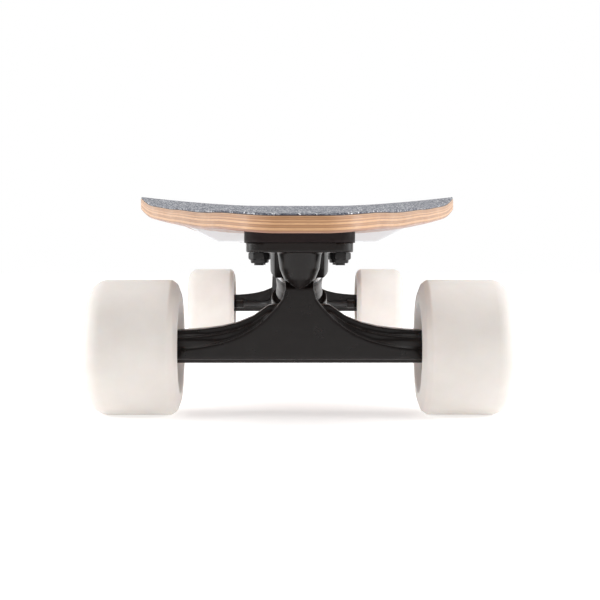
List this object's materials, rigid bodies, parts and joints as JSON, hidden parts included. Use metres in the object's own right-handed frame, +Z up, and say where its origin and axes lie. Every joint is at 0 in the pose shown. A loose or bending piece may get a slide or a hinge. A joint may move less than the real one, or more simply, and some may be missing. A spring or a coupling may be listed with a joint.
{
  "type": "electric skateboard",
  "caption": "Longboard-style electric skateboard with a cambered wooden deck, gritty top, black trucks, white wheels and slim pods underneath.",
  "frame": {"origin": "on the ground under the middle of the board", "axes": "+Z up, +Y towards the tail (the nose is at -Y), +X across the board"},
  "size_m": [0.234, 0.905, 0.127],
  "materials": {
    "wood": "satin",
    "grip": "matte",
    "cast_black": "satin",
    "riser_black": "matte",
    "bushing": "satin",
    "cup": "matte",
    "steel": "satin",
    "bolt_black": "satin",
    "pod_grey": "satin",
    "black_rubber": "matte",
    "cell_wrap": "satin",
    "circuit_board": "satin",
    "black_plastic": "matte",
    "brass": "satin",
    "channel_plastic": "matte",
    "cable": "satin",
    "aluminium": "satin",
    "tyre_white": "satin",
    "core_plastic": "satin",
    "motor_steel": "satin",
    "stator_steel": "satin",
    "copper": "satin",
    "magnet": "satin"
  },
  "bodies": {
    "board": {"deck": "wood", "grip_tape": "grip", "front_riser": "riser_black", "rear_riser": "riser_black", "front_baseplate": "cast_black", "rear_baseplate": "cast_black", "pivot_cups": "cup", "kingpins": "steel", "front_bushings": "bushing", "rear_bushings": "bushing", "bushing_washers": "steel", "kingpin_nuts": "steel", "deck_bolts": "bolt_black", "lock_nuts": "bolt_black", "battery_pod": "pod_grey", "battery_seal": "black_rubber", "battery_cells": "cell_wrap", "battery_board": "circuit_board", "controller_pod": "pod_grey", "controller_seal": "black_rubber", "controller_board": "circuit_board", "pod_screws": "bolt_black", "threaded_inserts": "brass", "cable_channel": "channel_plastic", "power_cables": "cable", "motor_cables": "cable", "button_bezel": "aluminium", "button_spring": "steel", "button_switch": "black_plastic", "charge_port": "black_plastic"},
    "button": {"power_button": "black_plastic"},
    "cap": {"charge_cap": "black_rubber"},
    "front_truck": {"front_hanger": "cast_black", "front_axle": "steel", "front_speed_washers": "steel", "front_bearing_spacers": "aluminium", "front_inner_rings": "steel", "front_axle_nuts": "steel"},
    "rear_truck": {"rear_hanger": "cast_black", "rear_axle": "steel", "rear_stator_cores": "stator_steel", "rear_windings": "copper", "rear_inner_rings": "steel", "rear_axle_nuts": "steel"},
    "front_left_wheel": {"front_left_tyre": "tyre_white", "front_left_core": "core_plastic", "front_left_bearings": "steel"},
    "front_right_wheel": {"front_right_tyre": "tyre_white", "front_right_core": "core_plastic", "front_right_bearings": "steel"},
    "rear_left_wheel": {"rear_left_tyre": "tyre_white", "rear_left_rotor": "motor_steel", "rear_left_magnets": "magnet", "rear_left_cover": "motor_steel", "rear_left_bearings": "steel"},
    "rear_right_wheel": {"rear_right_tyre": "tyre_white", "rear_right_rotor": "motor_steel", "rear_right_magnets": "magnet", "rear_right_cover": "motor_steel", "rear_right_bearings": "steel"}
  },
  "joints": [
    {"name": "front_steer", "type": "hinge", "parent": "board", "child": "front_truck", "pos_m": [0, -0.3315, 0.0578], "axis": [0, -0.8824, 0.4706], "range_deg": [-18, 18], "stiffness_Nm_per_rad": 50, "deforming": ["front_bushings"]},
    {"name": "rear_steer", "type": "hinge", "parent": "board", "child": "rear_truck", "pos_m": [0, 0.3315, 0.0578], "axis": [0, 0.8824, 0.4706], "range_deg": [-18, 18], "stiffness_Nm_per_rad": 50, "deforming": ["rear_bushings", "motor_cables"]},
    {"name": "front_left_spin", "type": "hinge", "parent": "front_truck", "child": "front_left_wheel", "pos_m": [-0.085, -0.3535, 0.035], "axis": [1, 0, 0], "continuous": true},
    {"name": "front_right_spin", "type": "hinge", "parent": "front_truck", "child": "front_right_wheel", "pos_m": [0.085, -0.3535, 0.035], "axis": [1, 0, 0], "continuous": true},
    {"name": "rear_left_spin", "type": "hinge", "parent": "rear_truck", "child": "rear_left_wheel", "pos_m": [-0.085, 0.3535, 0.035], "axis": [1, 0, 0], "continuous": true},
    {"name": "rear_right_spin", "type": "hinge", "parent": "rear_truck", "child": "rear_right_wheel", "pos_m": [0.085, 0.3535, 0.035], "axis": [1, 0, 0], "continuous": true},
    {"name": "button_press", "type": "slide", "parent": "board", "child": "button", "axis": [0, -0.9988, -0.0483], "range_m": [0, 0.001], "stiffness_N_per_m": 900, "springref_m": -0.0004, "deforming": ["button_spring"]},
    {"name": "cap_hinge", "type": "hinge", "parent": "board", "child": "cap", "pos_m": [-0.0416, -0.01633, 0.10566], "axis": [0, -0.0483, 0.9988], "range_deg": [0, 100]}
  ]
}
